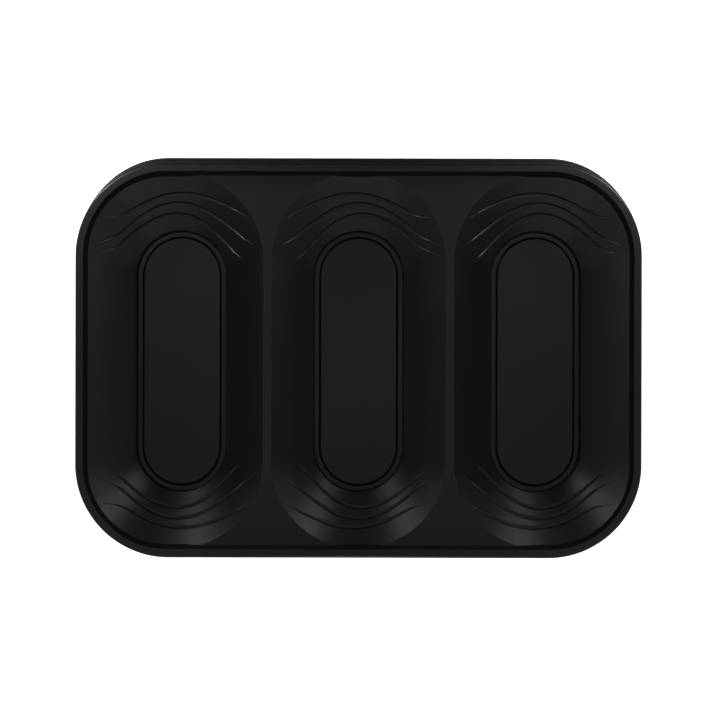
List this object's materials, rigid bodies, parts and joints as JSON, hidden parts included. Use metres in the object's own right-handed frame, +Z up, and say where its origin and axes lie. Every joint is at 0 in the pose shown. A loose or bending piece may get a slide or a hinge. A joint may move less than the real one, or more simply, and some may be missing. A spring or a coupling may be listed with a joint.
{
  "type": "baguette tray",
  "caption": "Rigid black plastic serving tray with long round-ended troughs side by side, sloped walls with wave-shaped ledges, and a raised flat rim.",
  "frame": {"origin": "centre of the tray's bounding box in plan, on the surface that it stands on", "axes": "+X along the tray's long side, across the troughs; +Y along the troughs, towards the wider side of the rim; +Z up"},
  "size_m": [0.4008, 0.2838, 0.05],
  "materials": {
    "black_plastic": "black polypropylene sheet, vacuum formed, semi-gloss with a faint grain"
  },
  "bodies": {
    "root": {"rim": "black_plastic", "left_divider": "black_plastic", "right_divider": "black_plastic", "left_trough_wall": "black_plastic", "left_trough_floor": "black_plastic", "centre_trough_wall": "black_plastic", "centre_trough_floor": "black_plastic", "right_trough_wall": "black_plastic", "right_trough_floor": "black_plastic"}
  },
  "joints": []
}
